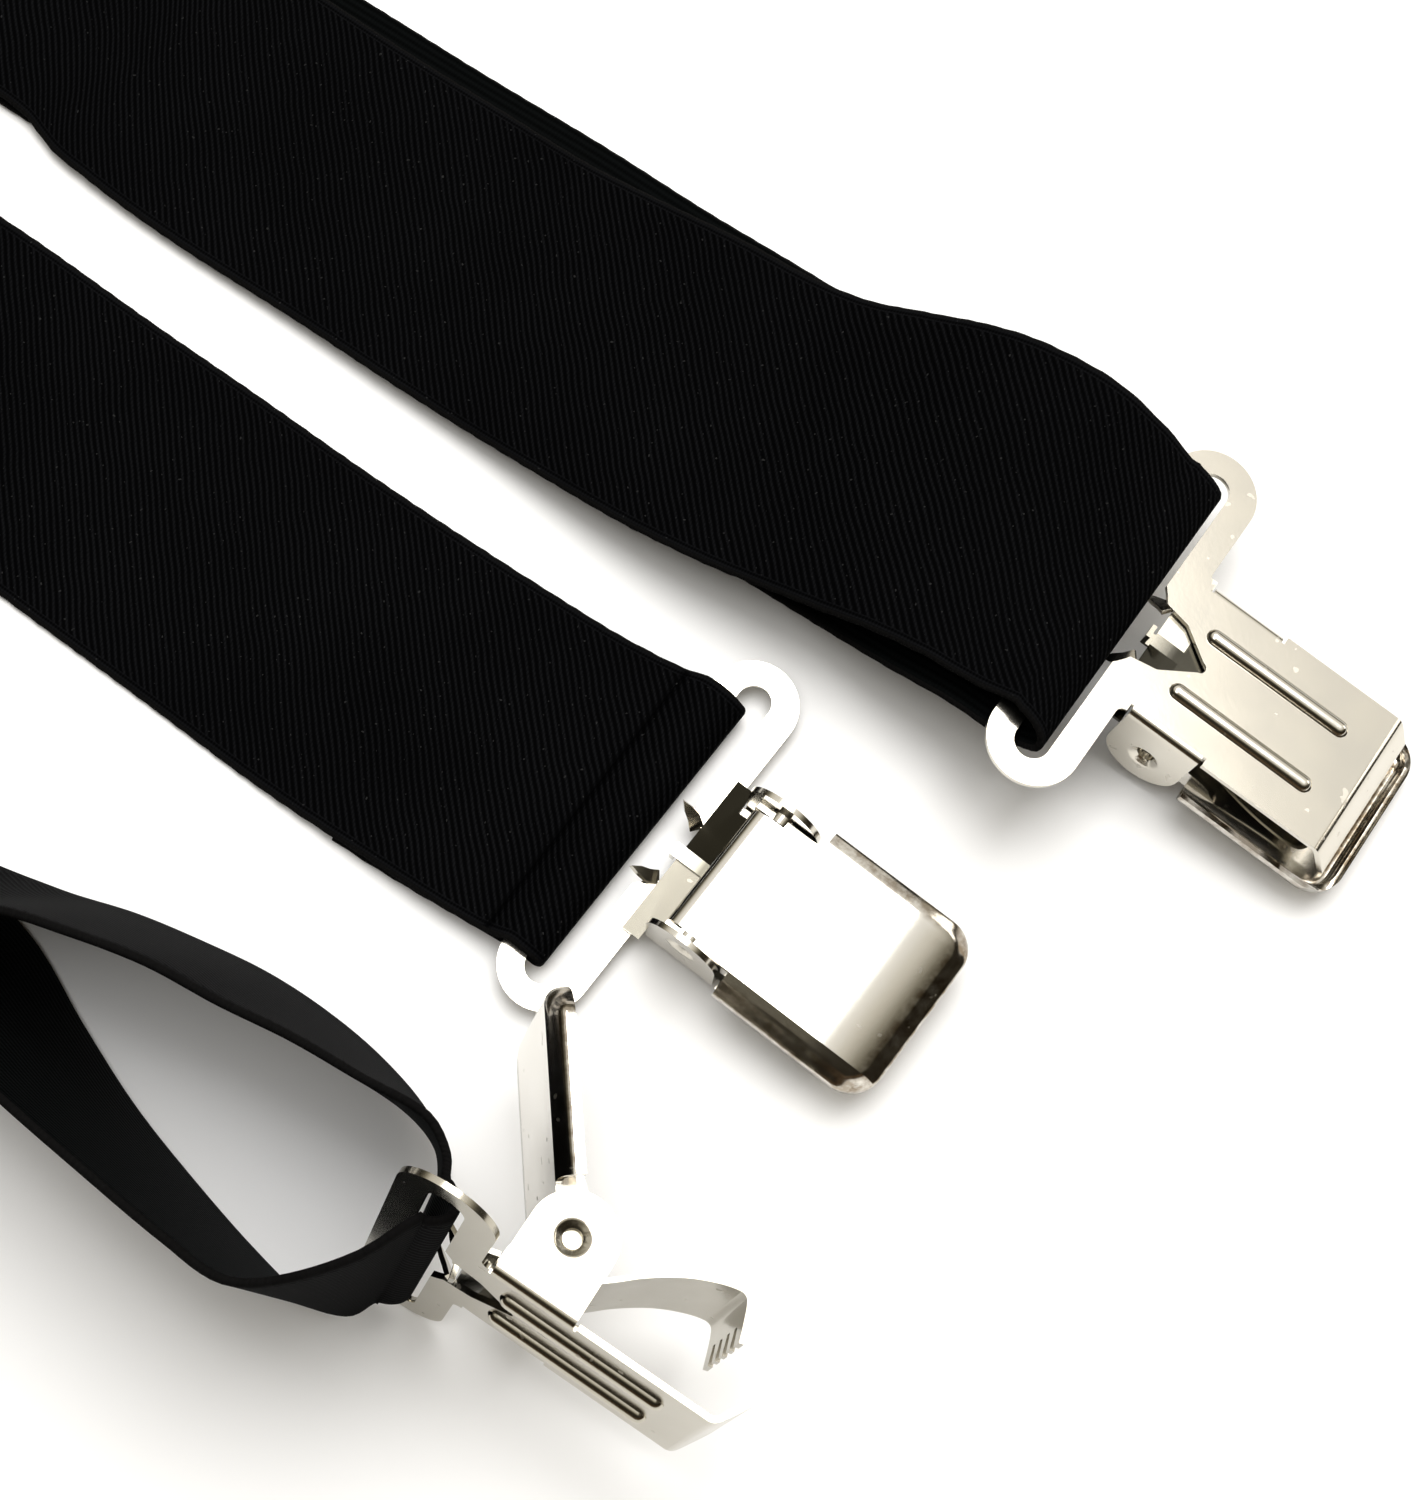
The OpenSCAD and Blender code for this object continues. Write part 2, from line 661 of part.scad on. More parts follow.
rear_clip_frame();
rear_clip_lever();
rear_clip_jaw();
right_clip_frame();
right_clip_lever();
right_clip_jaw();
left_clip_frame();
left_clip_lever();
left_clip_jaw();
rear_strap();
rear_strap_stitches();
right_shoulder_strap();
right_front_strap();
right_return_strap();
left_shoulder_strap();
left_front_strap();
left_return_strap();
right_slide();
left_slide();
right_return_stitches();
left_return_stitches();
yoke_patch_front();
yoke_patch_back();
yoke_patch_stitches();
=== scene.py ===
"""Suspenders: webbing, metal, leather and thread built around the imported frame."""

import math

import bmesh
import bpy
from mathutils import Euler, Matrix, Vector


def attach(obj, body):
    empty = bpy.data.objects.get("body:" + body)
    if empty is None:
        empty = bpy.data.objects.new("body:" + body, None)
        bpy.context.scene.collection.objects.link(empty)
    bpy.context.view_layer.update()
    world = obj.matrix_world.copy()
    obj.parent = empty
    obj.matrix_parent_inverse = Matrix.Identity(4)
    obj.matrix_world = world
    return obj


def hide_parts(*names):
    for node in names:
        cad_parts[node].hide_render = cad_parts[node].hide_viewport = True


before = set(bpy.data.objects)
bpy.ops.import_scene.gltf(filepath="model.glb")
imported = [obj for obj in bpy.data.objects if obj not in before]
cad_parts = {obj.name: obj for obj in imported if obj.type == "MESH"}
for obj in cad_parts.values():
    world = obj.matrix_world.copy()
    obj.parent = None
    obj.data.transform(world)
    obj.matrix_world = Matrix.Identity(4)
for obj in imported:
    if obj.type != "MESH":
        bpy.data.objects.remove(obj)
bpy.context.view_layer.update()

MM = 0.001

# ---------- layout, in millimetres, repeated from the part's source ----------
SHIFT = Vector((187.3, 28.0, 0.0))
STRAP_W = 50.0
STRAP_T = 1.2
WRAP_R = 3.1
REAR_REACH = 4.15
FRONT_REACH = 6.0
FLAT_Z = STRAP_T / 2 + 0.1
YOKE_Y = -28.0
APEX_X = -285.0
FOLD_X = -450.0
FOLD_R = 4.5
SLIDE_X = -200.0
FRONT_Y = 73.5
REAR_SEAM_X = -9.0
RETURN_SEAM_X = SLIDE_X + 19.5
SHOULDER_ANGLE = 29.1
FOLD_ANGLE = 162.6
FOLD_LEAN = FOLD_ANGLE - 180 + SHOULDER_ANGLE
FRONT_TURN = 180 - FOLD_ANGLE - FOLD_LEAN
FOLD_Y = (APEX_X - FOLD_X) * math.tan(math.radians(SHOULDER_ANGLE))
POSES = {
    "rear": ((-3.6, -16.4, 3.9), (0.0, 3.2, -1.1)),
    "right": ((35.0, 48.3, 18.8), (173.4, 6.8, 0.0)),
    "left": ((11.3, -84.5, 32.2), (-103.0, 7.3, 2.9)),
}


def cosd(a):
    return math.cos(math.radians(a))


def sind(a):
    return math.sin(math.radians(a))


def turn(clip):
    """Rotation of a clip, turned about X, then Y, then Z."""
    x, y, z = (math.radians(a) for a in POSES[clip][1])
    return Euler((x, y, z), "XYZ").to_matrix()


def placed(clip, point):
    return Vector(POSES[clip][0]) + turn(clip) @ Vector(point)


def bank(b):
    return Vector((0, cosd(b), sind(b)))


def station(x, y, z, width):
    return Vector((x, y, z)), Vector(width)


def wrap(clip, reach, start, stop, off_start, off_stop, side):
    """Stations round a clip's bar, from one angle to another in the clip's plane."""
    steps = 8
    found = []
    for i in range(steps + 1):
        a = start + (stop - start) * i / steps
        off = off_start + (off_stop - off_start) * i / steps
        centre = placed(clip, (reach * cosd(a), side * off, WRAP_R * sind(a)))
        found.append((centre, turn(clip) @ Vector((0, side, 0))))
    return found


REAR_ROUTE = (
    [
        station(-285, -28, 1.95, bank(0)),
        station(-266, -27.7, 1.95, bank(0)),
        station(-245, -27, 1.1, bank(0)),
        station(-222, -25.8, FLAT_Z, bank(0)),
        station(-185, -23, FLAT_Z, bank(0)),
        station(-147, -20.6, FLAT_Z, bank(0)),
        station(-100, -20.25, FLAT_Z, bank(0)),
        station(-58, -20.2, 0.7, bank(0)),
        station(-44, -20.0, 1.5, bank(0)),
        station(-34, -19.7, 2.5, bank(0)),
        station(-20, -19.1, 3.7, bank(0)),
        station(-10, -18.1, 4.6, bank(0)),
    ]
    + wrap("rear", REAR_REACH, 112, -112, -1, -1, 1)
    + [
        station(-10, -18.0, 3.1, bank(0)),
        station(-20, -19.0, 2.1, bank(0)),
        station(-30, -19.6, 0.9, bank(0)),
        station(-37, -19.9, FLAT_Z, bank(0)),
    ]
)


def level(side, a):
    return Vector((cosd(a), side * sind(a), 0))


def shoulder_station(side, run, z, a):
    x = APEX_X - run * cosd(SHOULDER_ANGLE)
    y = YOKE_Y + side * run * sind(SHOULDER_ANGLE)
    return Vector((x, y, z)), level(side, a)


def fold_station(side, a):
    centre = Vector((FOLD_X, YOKE_Y + side * FOLD_Y, FLAT_Z + FOLD_R + FOLD_R * sind(a)))
    centre += FOLD_R * cosd(a) * level(side, FOLD_ANGLE)
    drift = FOLD_R * math.radians(90 - a) * math.tan(math.radians(FOLD_LEAN))
    along = level(side, FOLD_ANGLE - 90)
    return centre + drift * along, along


def shoulder_route(side, z0):
    return [
        shoulder_station(side, 14, z0, 60.9),
        shoulder_station(side, 40, z0, 60.9),
        shoulder_station(side, 75, z0, 60.9),
        shoulder_station(side, 110, 2.3, 61),
        shoulder_station(side, 145, 4.2, 62.5),
        shoulder_station(side, 172, 8.0, 67),
    ] + [fold_station(side, a) for a in range(80, -71, -25)]


def front_station(side, run, a):
    start = Vector((FOLD_X, YOKE_Y + side * FOLD_Y, FLAT_Z))
    drift = FOLD_R * math.pi * math.tan(math.radians(FOLD_LEAN))
    start += drift * level(side, FOLD_ANGLE - 90)
    return start + run * level(side, -FRONT_TURN), level(side, a)


def front_start(side):
    return [
        fold_station(side, -70),
        front_station(side, 10, 75),
        front_station(side, 40, 82),
        front_station(side, 80, 84.3),
        front_station(side, 140, 85),
        front_station(side, 190, 87),
    ]


# Heights of the strap through a slide: over the end bars, under the middle bar
SLIDE_HEIGHTS = [
    (-38, 0.7), (-28, 1.4), (-20, 3.4), (-15.5, 4.95), (-13.2, 5.2), (-11.5, 5.1), (-9.3, 4.2),
    (-7.2, 2.5), (-5, 1.0), (-3, 0.7), (3, 0.7), (5, 1.0), (7.2, 2.5), (9.3, 4.2), (11.5, 5.1),
    (13.2, 5.2), (15.5, 4.95), (20, 3.4), (28, 1.4), (38, 0.7),
]
# Heights of the returning end: over the end bar, round the middle bar and back
RETURN_HEIGHTS = [
    (45, 2.0), (32, 3.6), (24, 5.4), (18, 7.2), (13.2, 7.9), (9.5, 7.5), (7, 6.6), (4.5, 5.4),
    (2.4, 4.95), (0, 4.95), (-2.3, 4.9), (-3.6, 4.45), (-3.9, 3.4), (-3.6, 2.35), (-2.3, 1.98),
    (0, 1.95), (2.6, 2.05),
    (5, 2.9), (7.4, 4.5), (9.5, 5.9), (11.5, 6.45), (13.2, 6.55), (18, 5.8), (24, 4.0),
]


def over_slide(side, heights):
    y = YOKE_Y + side * FRONT_Y
    return [(Vector((SLIDE_X + x, y, z)), level(side, 90)) for x, z in heights]


RIGHT_FRONT_ROUTE = (
    front_start(1)
    + over_slide(1, SLIDE_HEIGHTS)
    + [
        station(-135, 46.4, FLAT_Z, bank(0)),
        station(-105, 47.4, FLAT_Z, bank(0)),
        station(-76, 48.3, 0.7, bank(0)),
        station(-55, 48.4, 1.2, bank(0)),
        station(-38, 48.4, 2.6, bank(0)),
        station(-20, 48.0, 5.2, bank(-1)),
        station(0, 47.3, 9.2, bank(-3)),
        station(16, 46.9, 12.6, bank(-5)),
        station(27, 46.8, 14.9, bank(-6.5)),
    ]
    + wrap("right", FRONT_REACH, 95, 5, -1.5, -0.2, -1)
)
RIGHT_RETURN_ROUTE = (
    wrap("right", FRONT_REACH, 5, -95, -0.2, 1.2, -1)
    + [
        station(28, 49.5, 23.3, bank(2)),
        station(20, 49.3, 24.4, bank(8)),
        station(10, 48.4, 23.6, bank(10)),
        station(0, 47.0, 21.2, bank(10)),
        station(-10, 45.8, 17.0, bank(7)),
        station(-20, 44.6, 13.2, bank(3)),
        station(-30, 43.9, 10.7, bank(2.5)),
        station(-45, 43.5, 8.4, bank(4)),
        station(-60, 43.2, 5.6, bank(3)),
        station(-75, 43.1, 3.3, bank(0)),
        station(-92, 43.0, 2.5, bank(-0.5)),
        station(-120, 42.4, 2.0, bank(0)),
        station(-142, 43.0, 2.0, bank(0)),
    ]
    + over_slide(1, RETURN_HEIGHTS)
)


def on_edge(x, y, z, b):
    """The loop stands on edge on the left: a station gives its lower edge and its bank."""
    return Vector((x, y, z)) + bank(b) * STRAP_W / 2, bank(b)


# The left front strap turns on to its edge: x, y and bank. The returning layer lies on top of it
RISING = [
    (-153, -76.5, 180), (-148, -76.6, 180), (-137, -76.9, 175), (-126, -77.4, 165),
    (-113, -78.2, 150.5), (-100, -79.1, 136.5), (-90, -79.9, 127.5), (-80, -80.8, 119.5),
]
RISING_Z = 0.8
LAYER_GAP = 1.9


def above(x, y, b):
    centre, width = on_edge(x, y, RISING_Z, b)
    return centre + LAYER_GAP * Vector((0, sind(b), -cosd(b))), width


LEFT_FRONT_ROUTE = (
    front_start(-1)
    + over_slide(-1, SLIDE_HEIGHTS)
    + [on_edge(x, y, RISING_Z, b) for x, y, b in RISING]
    + [
        on_edge(-63, -83.4, FLAT_Z, 110),
        on_edge(-49, -88.6, FLAT_Z, 103),
        on_edge(-35, -93.2, FLAT_Z, 99),
        on_edge(-21, -96.4, FLAT_Z, 96),
        on_edge(-7, -98.9, 0.9, 93.5),
        on_edge(2, -99.6, 1.6, 92),
        on_edge(8.4, -97.4, 2.6, 89),
        station(12.3, -91.5, 29.6, (0.07, 0.09, 1)),
    ]
    + wrap("left", FRONT_REACH, -60, 0, -1.8, -1, -1)
)
LEFT_RETURN_ROUTE = (
    wrap("left", FRONT_REACH, 0, 60, -1, -0.3, -1)
    + [
        station(12.6, -76.4, 29.8, (0.08, 0.12, 1)),
        station(8.7, -72.4, 28.8, (0.04, 0.04, 1)),
        on_edge(0, -69.0, 1.9, 94),
        on_edge(-10.4, -66.7, 1.0, 98),
        on_edge(-21, -66.1, FLAT_Z, 101),
        on_edge(-31.6, -66.8, FLAT_Z, 102),
        on_edge(-42, -68.8, FLAT_Z, 103),
        on_edge(-52.7, -71.4, FLAT_Z, 104.5),
        on_edge(-64, -75.2, FLAT_Z, 109),
    ]
    + [above(x, y, b) for x, y, b in reversed(RISING)]
    + over_slide(-1, RETURN_HEIGHTS)
)


def between(a, b, c, d, gaps, t):
    leave = (c - a) * gaps[1] / (gaps[0] + gaps[1])
    arrive = (d - b) * gaps[1] / (gaps[1] + gaps[2])
    u = 1 - t
    return b * u * u * (1 + 2 * t) + leave * t * u * u + c * t * t * (3 - 2 * t) - arrive * t * t * u


def smooth(route, step):
    """Stations along a route, about one every step millimetres."""
    last = len(route) - 1
    found = []
    for i in range(last):
        near = [route[max(0, min(last, i + k))] for k in (-1, 0, 1, 2)]
        gaps = [(near[k + 1][0] - near[k][0]).length for k in range(3)]
        count = max(2, math.ceil(gaps[1] / step))
        for j in range(count):
            t = j / count
            found.append(tuple(between(*[s[c] for s in near], gaps, t) for c in (0, 1)))
    return found + [route[last]]


# ---------- nodes for materials ----------
class Nodes:
    """A short way to wire a material's nodes."""

    def __init__(self, name):
        self.material = bpy.data.materials.new(name)
        self.material.use_nodes = True
        self.tree = self.material.node_tree
        self.shader = self.tree.nodes["Principled BSDF"]

    def feed(self, socket, value):
        if isinstance(value, bpy.types.NodeSocket):
            self.tree.links.new(value, socket)
        else:
            socket.default_value = value

    def math(self, operation, a, b=0.0, clamp=False):
        node = self.tree.nodes.new("ShaderNodeMath")
        node.operation = operation
        node.use_clamp = clamp
        self.feed(node.inputs[0], a)
        self.feed(node.inputs[1], b)
        return node.outputs[0]

    def mix(self, factor, a, b):
        node = self.tree.nodes.new("ShaderNodeMix")
        node.data_type = "RGBA"
        self.feed(node.inputs["Factor"], factor)
        self.feed(node.inputs["A"], a)
        self.feed(node.inputs["B"], b)
        return node.outputs["Result"]

    def noise(self, vector, scale, detail=2.0, rough=0.5):
        node = self.tree.nodes.new("ShaderNodeTexNoise")
        node.inputs["Scale"].default_value = scale
        node.inputs["Detail"].default_value = detail
        node.inputs["Roughness"].default_value = rough
        self.tree.links.new(vector, node.inputs["Vector"])
        return node.outputs["Fac"]

    def uv(self, name):
        node = self.tree.nodes.new("ShaderNodeUVMap")
        node.uv_map = name
        split = self.tree.nodes.new("ShaderNodeSeparateXYZ")
        self.tree.links.new(node.outputs[0], split.inputs[0])
        return split.outputs[0], split.outputs[1], node.outputs[0]

    def bump(self, height, distance, strength=1.0):
        node = self.tree.nodes.new("ShaderNodeBump")
        node.inputs["Strength"].default_value = strength
        node.inputs["Distance"].default_value = distance
        self.tree.links.new(height, node.inputs["Height"])
        self.tree.links.new(node.outputs[0], self.shader.inputs["Normal"])

    def set(self, **values):
        for key, value in values.items():
            self.feed(self.shader.inputs[key.replace("_", " ")], value)


# UV maps, all in millimetres: across and along a strap, along it from its seam, and a clip piece's own plan
WEB_UV = "web"
SEAM_UV = "seam"
OWN_UV = "own"

# The webbing's weave, in millimetres
SEAM_HALF = 1.1
TWILL_PERIOD = 0.98
TWILL_ANGLE = 45
PICK_PERIOD = 0.52
SELVAGE_W = 1.6
SELVAGE_PERIOD = 0.8
INSIDE_CORD_PERIOD = 1.25
INSIDE_PICK_PERIOD = 0.6
EDGE_TURN_PERIOD = 0.9


def seam_dip(n):
    """0 in the bottom of a seam's groove, rising to 1 at its sides."""
    from_seam, _, _ = n.uv(SEAM_UV)
    return n.math("MULTIPLY", n.math("ABSOLUTE", from_seam), 1 / SEAM_HALF, clamp=True)


def webbing_face():
    """Black twill: diagonal cords of thread, with a plain woven selvage, coloured with painted highlights on
    the cords' tops and painted shade between them.
    """
    n = Nodes("webbing_twill")
    u, v, uv = n.uv(WEB_UV)
    wobble = n.noise(uv, 0.08, 2.0)
    slope = n.math("ADD", n.math("MULTIPLY", u, sind(TWILL_ANGLE)), n.math("MULTIPLY", v, cosd(TWILL_ANGLE)))
    slope = n.math("ADD", slope, n.math("MULTIPLY", wobble, 0.9))
    wave = n.math("SINE", n.math("MULTIPLY", slope, 2 * math.pi / TWILL_PERIOD))
    ridge = n.math("MULTIPLY", n.math("ADD", wave, 1.0), 0.5)
    pick = n.math("SINE", n.math("MULTIPLY", v, 2 * math.pi / PICK_PERIOD))
    pick = n.math("MULTIPLY", n.math("ADD", pick, 1.0), 0.5)
    grain = n.noise(uv, 2.2, 3.0, 0.6)
    pick_share = n.math("ADD", n.math("MULTIPLY", pick, 0.5), 0.5)
    # Painted highlight: the colour is lightest in dots on the cords' tops
    dots = n.math("MULTIPLY", n.math("POWER", ridge, 2.0), pick_share)
    # Painted glints: a few dots brighter still, where a noise runs high
    glint_mask = n.math("POWER", n.math("MULTIPLY", n.noise(uv, 1.7, 2.0, 0.7), 1.45), 3.0)
    glints = n.math("MULTIPLY", n.math("MULTIPLY", dots, glint_mask), 0.9)
    cords = n.math("ADD", n.math("MULTIPLY", dots, 0.75), glints)
    cords = n.math("ADD", cords, n.math("MULTIPLY", grain, 0.12))
    edge = n.math("ABSOLUTE", u)
    selvage = n.math("GREATER_THAN", edge, STRAP_W / 2 - SELVAGE_W)
    warp = n.math("SINE", n.math("MULTIPLY", edge, 2 * math.pi / SELVAGE_PERIOD))
    warp = n.math("MULTIPLY", n.math("ADD", warp, 1.0), 0.5)
    ribs = n.math("ADD", n.math("MULTIPLY", warp, 0.7), n.math("MULTIPLY", pick, 0.3))
    blend = n.tree.nodes.new("ShaderNodeMix")
    blend.data_type = "FLOAT"
    n.feed(blend.inputs["Factor"], selvage)
    n.feed(blend.inputs["A"], cords)
    n.feed(blend.inputs["B"], ribs)
    height = blend.outputs["Result"]
    patch = n.noise(uv, 0.035, 3.0, 0.6)
    dip = seam_dip(n)
    # The colour follows the weave's height: painted highlights on the tops, painted shade in the valleys
    shade = n.math("MULTIPLY", height, n.math("ADD", n.math("MULTIPLY", patch, 0.9), 0.45))
    # Painted shade: the colour darkens into a seam's groove
    shade = n.math("MULTIPLY", shade, n.math("ADD", n.math("MULTIPLY", dip, 0.85), 0.15))
    colour = n.mix(shade, (0.0001, 0.0001, 0.0002, 1), (0.0052, 0.0054, 0.0061, 1))
    lint = n.math("GREATER_THAN", n.noise(uv, 1.35, 1.0), 0.745)
    colour = n.mix(n.math("MULTIPLY", lint, 0.55), colour, (0.03, 0.03, 0.03, 1))
    n.set(Base_Color=colour, Roughness=0.75, Specular_IOR_Level=0.012)
    n.set(Sheen_Weight=0.002, Sheen_Roughness=0.4, Sheen_Tint=(0.6, 0.65, 0.7, 1))
    height = n.math("ADD", n.math("MULTIPLY", height, 0.12), n.math("MULTIPLY", dip, 0.45))
    n.bump(height, 1.0 * MM, 0.8)
    return n.material


def webbing_inside():
    """The webbing's inner face: fine cords along its length over the rubber threads."""
    n = Nodes("webbing_inside")
    u, v, uv = n.uv(WEB_UV)
    cords = n.math("SINE", n.math("MULTIPLY", u, 2 * math.pi / INSIDE_CORD_PERIOD))
    cords = n.math("MULTIPLY", n.math("ADD", cords, 1.0), 0.5)
    pick = n.math("SINE", n.math("MULTIPLY", v, 2 * math.pi / INSIDE_PICK_PERIOD))
    pick = n.math("MULTIPLY", n.math("ADD", pick, 1.0), 0.5)
    grain = n.noise(uv, 1.8, 3.0, 0.6)
    height = n.math("ADD", n.math("MULTIPLY", cords, 0.6), n.math("MULTIPLY", pick, 0.15))
    height = n.math("ADD", height, n.math("MULTIPLY", grain, 0.35))
    dip = seam_dip(n)
    # The colour follows the cords' height, lighter on their tops; painted shade darkens it into a seam's
    # groove
    shade = n.math("MULTIPLY", height, n.math("ADD", n.math("MULTIPLY", dip, 0.85), 0.15))
    colour = n.mix(shade, (0.0003, 0.0004, 0.0004, 1), (0.0026, 0.0031, 0.0032, 1))
    n.set(Base_Color=colour, Roughness=0.65, Specular_IOR_Level=0.008)
    n.set(Sheen_Weight=0.003, Sheen_Roughness=0.4, Sheen_Tint=(0.55, 0.68, 0.68, 1))
    height = n.math("ADD", n.math("MULTIPLY", height, 0.16), n.math("MULTIPLY", dip, 0.45))
    n.bump(height, 1.0 * MM, 0.8)
    return n.material


def webbing_edge():
    """Cut and woven edges: soft fuzz."""
    n = Nodes("webbing_edge")
    u, v, uv = n.uv(WEB_UV)
    fuzz = n.noise(uv, 3.0, 4.0, 0.7)
    turns = n.math("SINE", n.math("MULTIPLY", v, 2 * math.pi / EDGE_TURN_PERIOD))
    height = n.math("ADD", n.math("MULTIPLY", turns, 0.25), fuzz)
    colour = n.mix(fuzz, (0.0006, 0.0006, 0.0007, 1), (0.0075, 0.0072, 0.007, 1))
    n.set(Base_Color=colour, Roughness=0.85, Specular_IOR_Level=0.02)
    n.set(Sheen_Weight=0.005, Sheen_Roughness=0.6, Sheen_Tint=(0.7, 0.7, 0.7, 1))
    n.bump(height, 0.18 * MM, 0.9)
    return n.material


def thread_material():
    n = Nodes("sewing_thread")
    place = n.tree.nodes.new("ShaderNodeTexCoord").outputs["Object"]
    twist = n.noise(place, 2600.0, 2.0)
    colour = n.mix(twist, (0.0015, 0.0015, 0.0018, 1), (0.009, 0.009, 0.010, 1))
    n.set(Base_Color=colour, Roughness=0.6, Specular_IOR_Level=0.12)
    n.bump(twist, 0.05 * MM, 0.6)
    return n.material


def leather_material():
    n = Nodes("patch_leather")
    place = n.tree.nodes.new("ShaderNodeTexCoord").outputs["Object"]
    cells = n.tree.nodes.new("ShaderNodeTexVoronoi")
    cells.feature = "DISTANCE_TO_EDGE"
    cells.inputs["Scale"].default_value = 900.0
    n.tree.links.new(place, cells.inputs["Vector"])
    pebble = n.math("MULTIPLY", cells.outputs["Distance"], 2.2, clamp=True)
    broad = n.noise(place, 60.0, 4.0, 0.6)
    height = n.math("ADD", pebble, n.math("MULTIPLY", broad, 0.4))
    colour = n.mix(height, (0.004, 0.0037, 0.0034, 1), (0.014, 0.013, 0.012, 1))
    rough = n.math("ADD", n.math("MULTIPLY", broad, 0.2), 0.5)
    n.set(Base_Color=colour, Roughness=rough, Specular_IOR_Level=0.22)
    n.bump(height, 0.12 * MM, 0.7)
    return n.material


# Plans of the clip's pieces, in their own millimetres: x from the strap bar, y from the middle line
ROLL_END_X = 41.5
ROLL_FAR_Y = 10.8
ROLL_NEAR_Y = 11.2
RIM_END_X = 51.1
RIM_SIDE_Y = 12.55
# Where a cover's painted reflection begins: at its end, and at each side
RIM_REFLECTION_END_X = 49.6
RIM_REFLECTION_SIDE_Y = 12.0
WING_END_X = 15.5
TONGUE_HALF = 1.1
TONGUE_START_X = 10.0
WINDOW_X = (15.3, 19.5)


def past(n, value, start):
    """How far a value is past a start, never below zero."""
    return n.math("MAXIMUM", n.math("SUBTRACT", value, start), 0.0)


def rolled(n, value, start, curve, power, rim, steep):
    """Depth of a rolled edge, for shading only: it bends down from a start, and eases off at its rim."""
    bend = n.math("MULTIPLY", n.math("POWER", past(n, value, start), power), curve)
    stay = n.math("MULTIPLY", n.math("POWER", past(n, value, rim), 3.0), steep)
    return n.math("SUBTRACT", bend, stay)


def pressed_cover(n, x, y):
    """Shaded heights of a lever's cover, in millimetres: rolled down at its end and two sides."""
    end = rolled(n, x, ROLL_END_X, 0.025, 2.0, RIM_END_X, 0.11)
    far = rolled(n, y, ROLL_FAR_Y, 0.05, 2.0, RIM_SIDE_Y, 0.10)
    near = rolled(n, n.math("MULTIPLY", y, -1.0), ROLL_NEAR_Y, 0.46, 1.0, RIM_SIDE_Y, 0.10)
    return n.math("MULTIPLY", n.math("ADD", n.math("ADD", end, far), near), -1.0)


def pressed_root(n, x, y):
    """Shaded heights of a jaw's root, in millimetres: two leaning wings beside the tongue."""
    wing = n.math("SUBTRACT", 1.0, n.math("GREATER_THAN", x, WING_END_X))
    upper = n.math("MULTIPLY", n.math("GREATER_THAN", y, TONGUE_HALF), 0.6)
    lower = n.math("MULTIPLY", n.math("LESS_THAN", y, -TONGUE_HALF), 0.20)
    return n.math("MULTIPLY", n.math("MULTIPLY", n.math("ADD", upper, lower), wing), x)


def nothing(n, x, y):
    """Neither pressed nor painted with light or shade."""
    return n.math("MULTIPLY", x, 0.0)


def rim_painted_reflection(n, x, y):
    """Painted reflection: mottled brown on a cover's rolled rim, at its end and its two sides."""
    place = n.tree.nodes.new("ShaderNodeTexCoord").outputs["Object"]
    end = n.math("MULTIPLY", past(n, x, RIM_REFLECTION_END_X), 0.7, clamp=True)
    side = n.math("MULTIPLY", past(n, n.math("ABSOLUTE", y), RIM_REFLECTION_SIDE_Y), 0.8, clamp=True)
    blotch = n.math("SUBTRACT", n.noise(place, 420.0, 3.0, 0.65), 0.36)
    blotch = n.math("MULTIPLY", blotch, 4.0, clamp=True)
    edge = n.math("MAXIMUM", end, n.math("MULTIPLY", side, 0.75))
    return n.math("MULTIPLY", n.math("MULTIPLY", edge, blotch), 0.85)


def root_painted_shade_and_reflection(n, x, y):
    """Where a jaw's root is painted dark: painted reflection on its upper wing, painted shade on its tongue
    and in what the window shows.
    """
    near_x, far_x = WINDOW_X
    inner = n.math("MULTIPLY", n.math("GREATER_THAN", x, near_x), n.math("LESS_THAN", x, far_x))
    inner = n.math("MULTIPLY", inner, n.math("LESS_THAN", y, TONGUE_HALF))
    wing = n.math("MULTIPLY", n.math("LESS_THAN", x, far_x), n.math("GREATER_THAN", y, TONGUE_HALF))
    tongue = n.math("MULTIPLY", n.math("SUBTRACT", x, TONGUE_START_X), 0.22, clamp=True)
    tongue = n.math("MULTIPLY", tongue, n.math("LESS_THAN", n.math("ABSOLUTE", y), TONGUE_HALF + 0.01))
    tongue = n.math("MULTIPLY", tongue, n.math("LESS_THAN", x, near_x))
    return n.math("MULTIPLY", n.math("ADD", n.math("ADD", inner, wing), tongue), 0.92)


# Painted shade and painted reflection at a jaw's root: near black
ROOT_SHADE_AND_REFLECTION = (0.03, 0.028, 0.02)
# Painted reflection on a cover's rim: brown
RIM_REFLECTION_BROWN = (0.17, 0.115, 0.055)


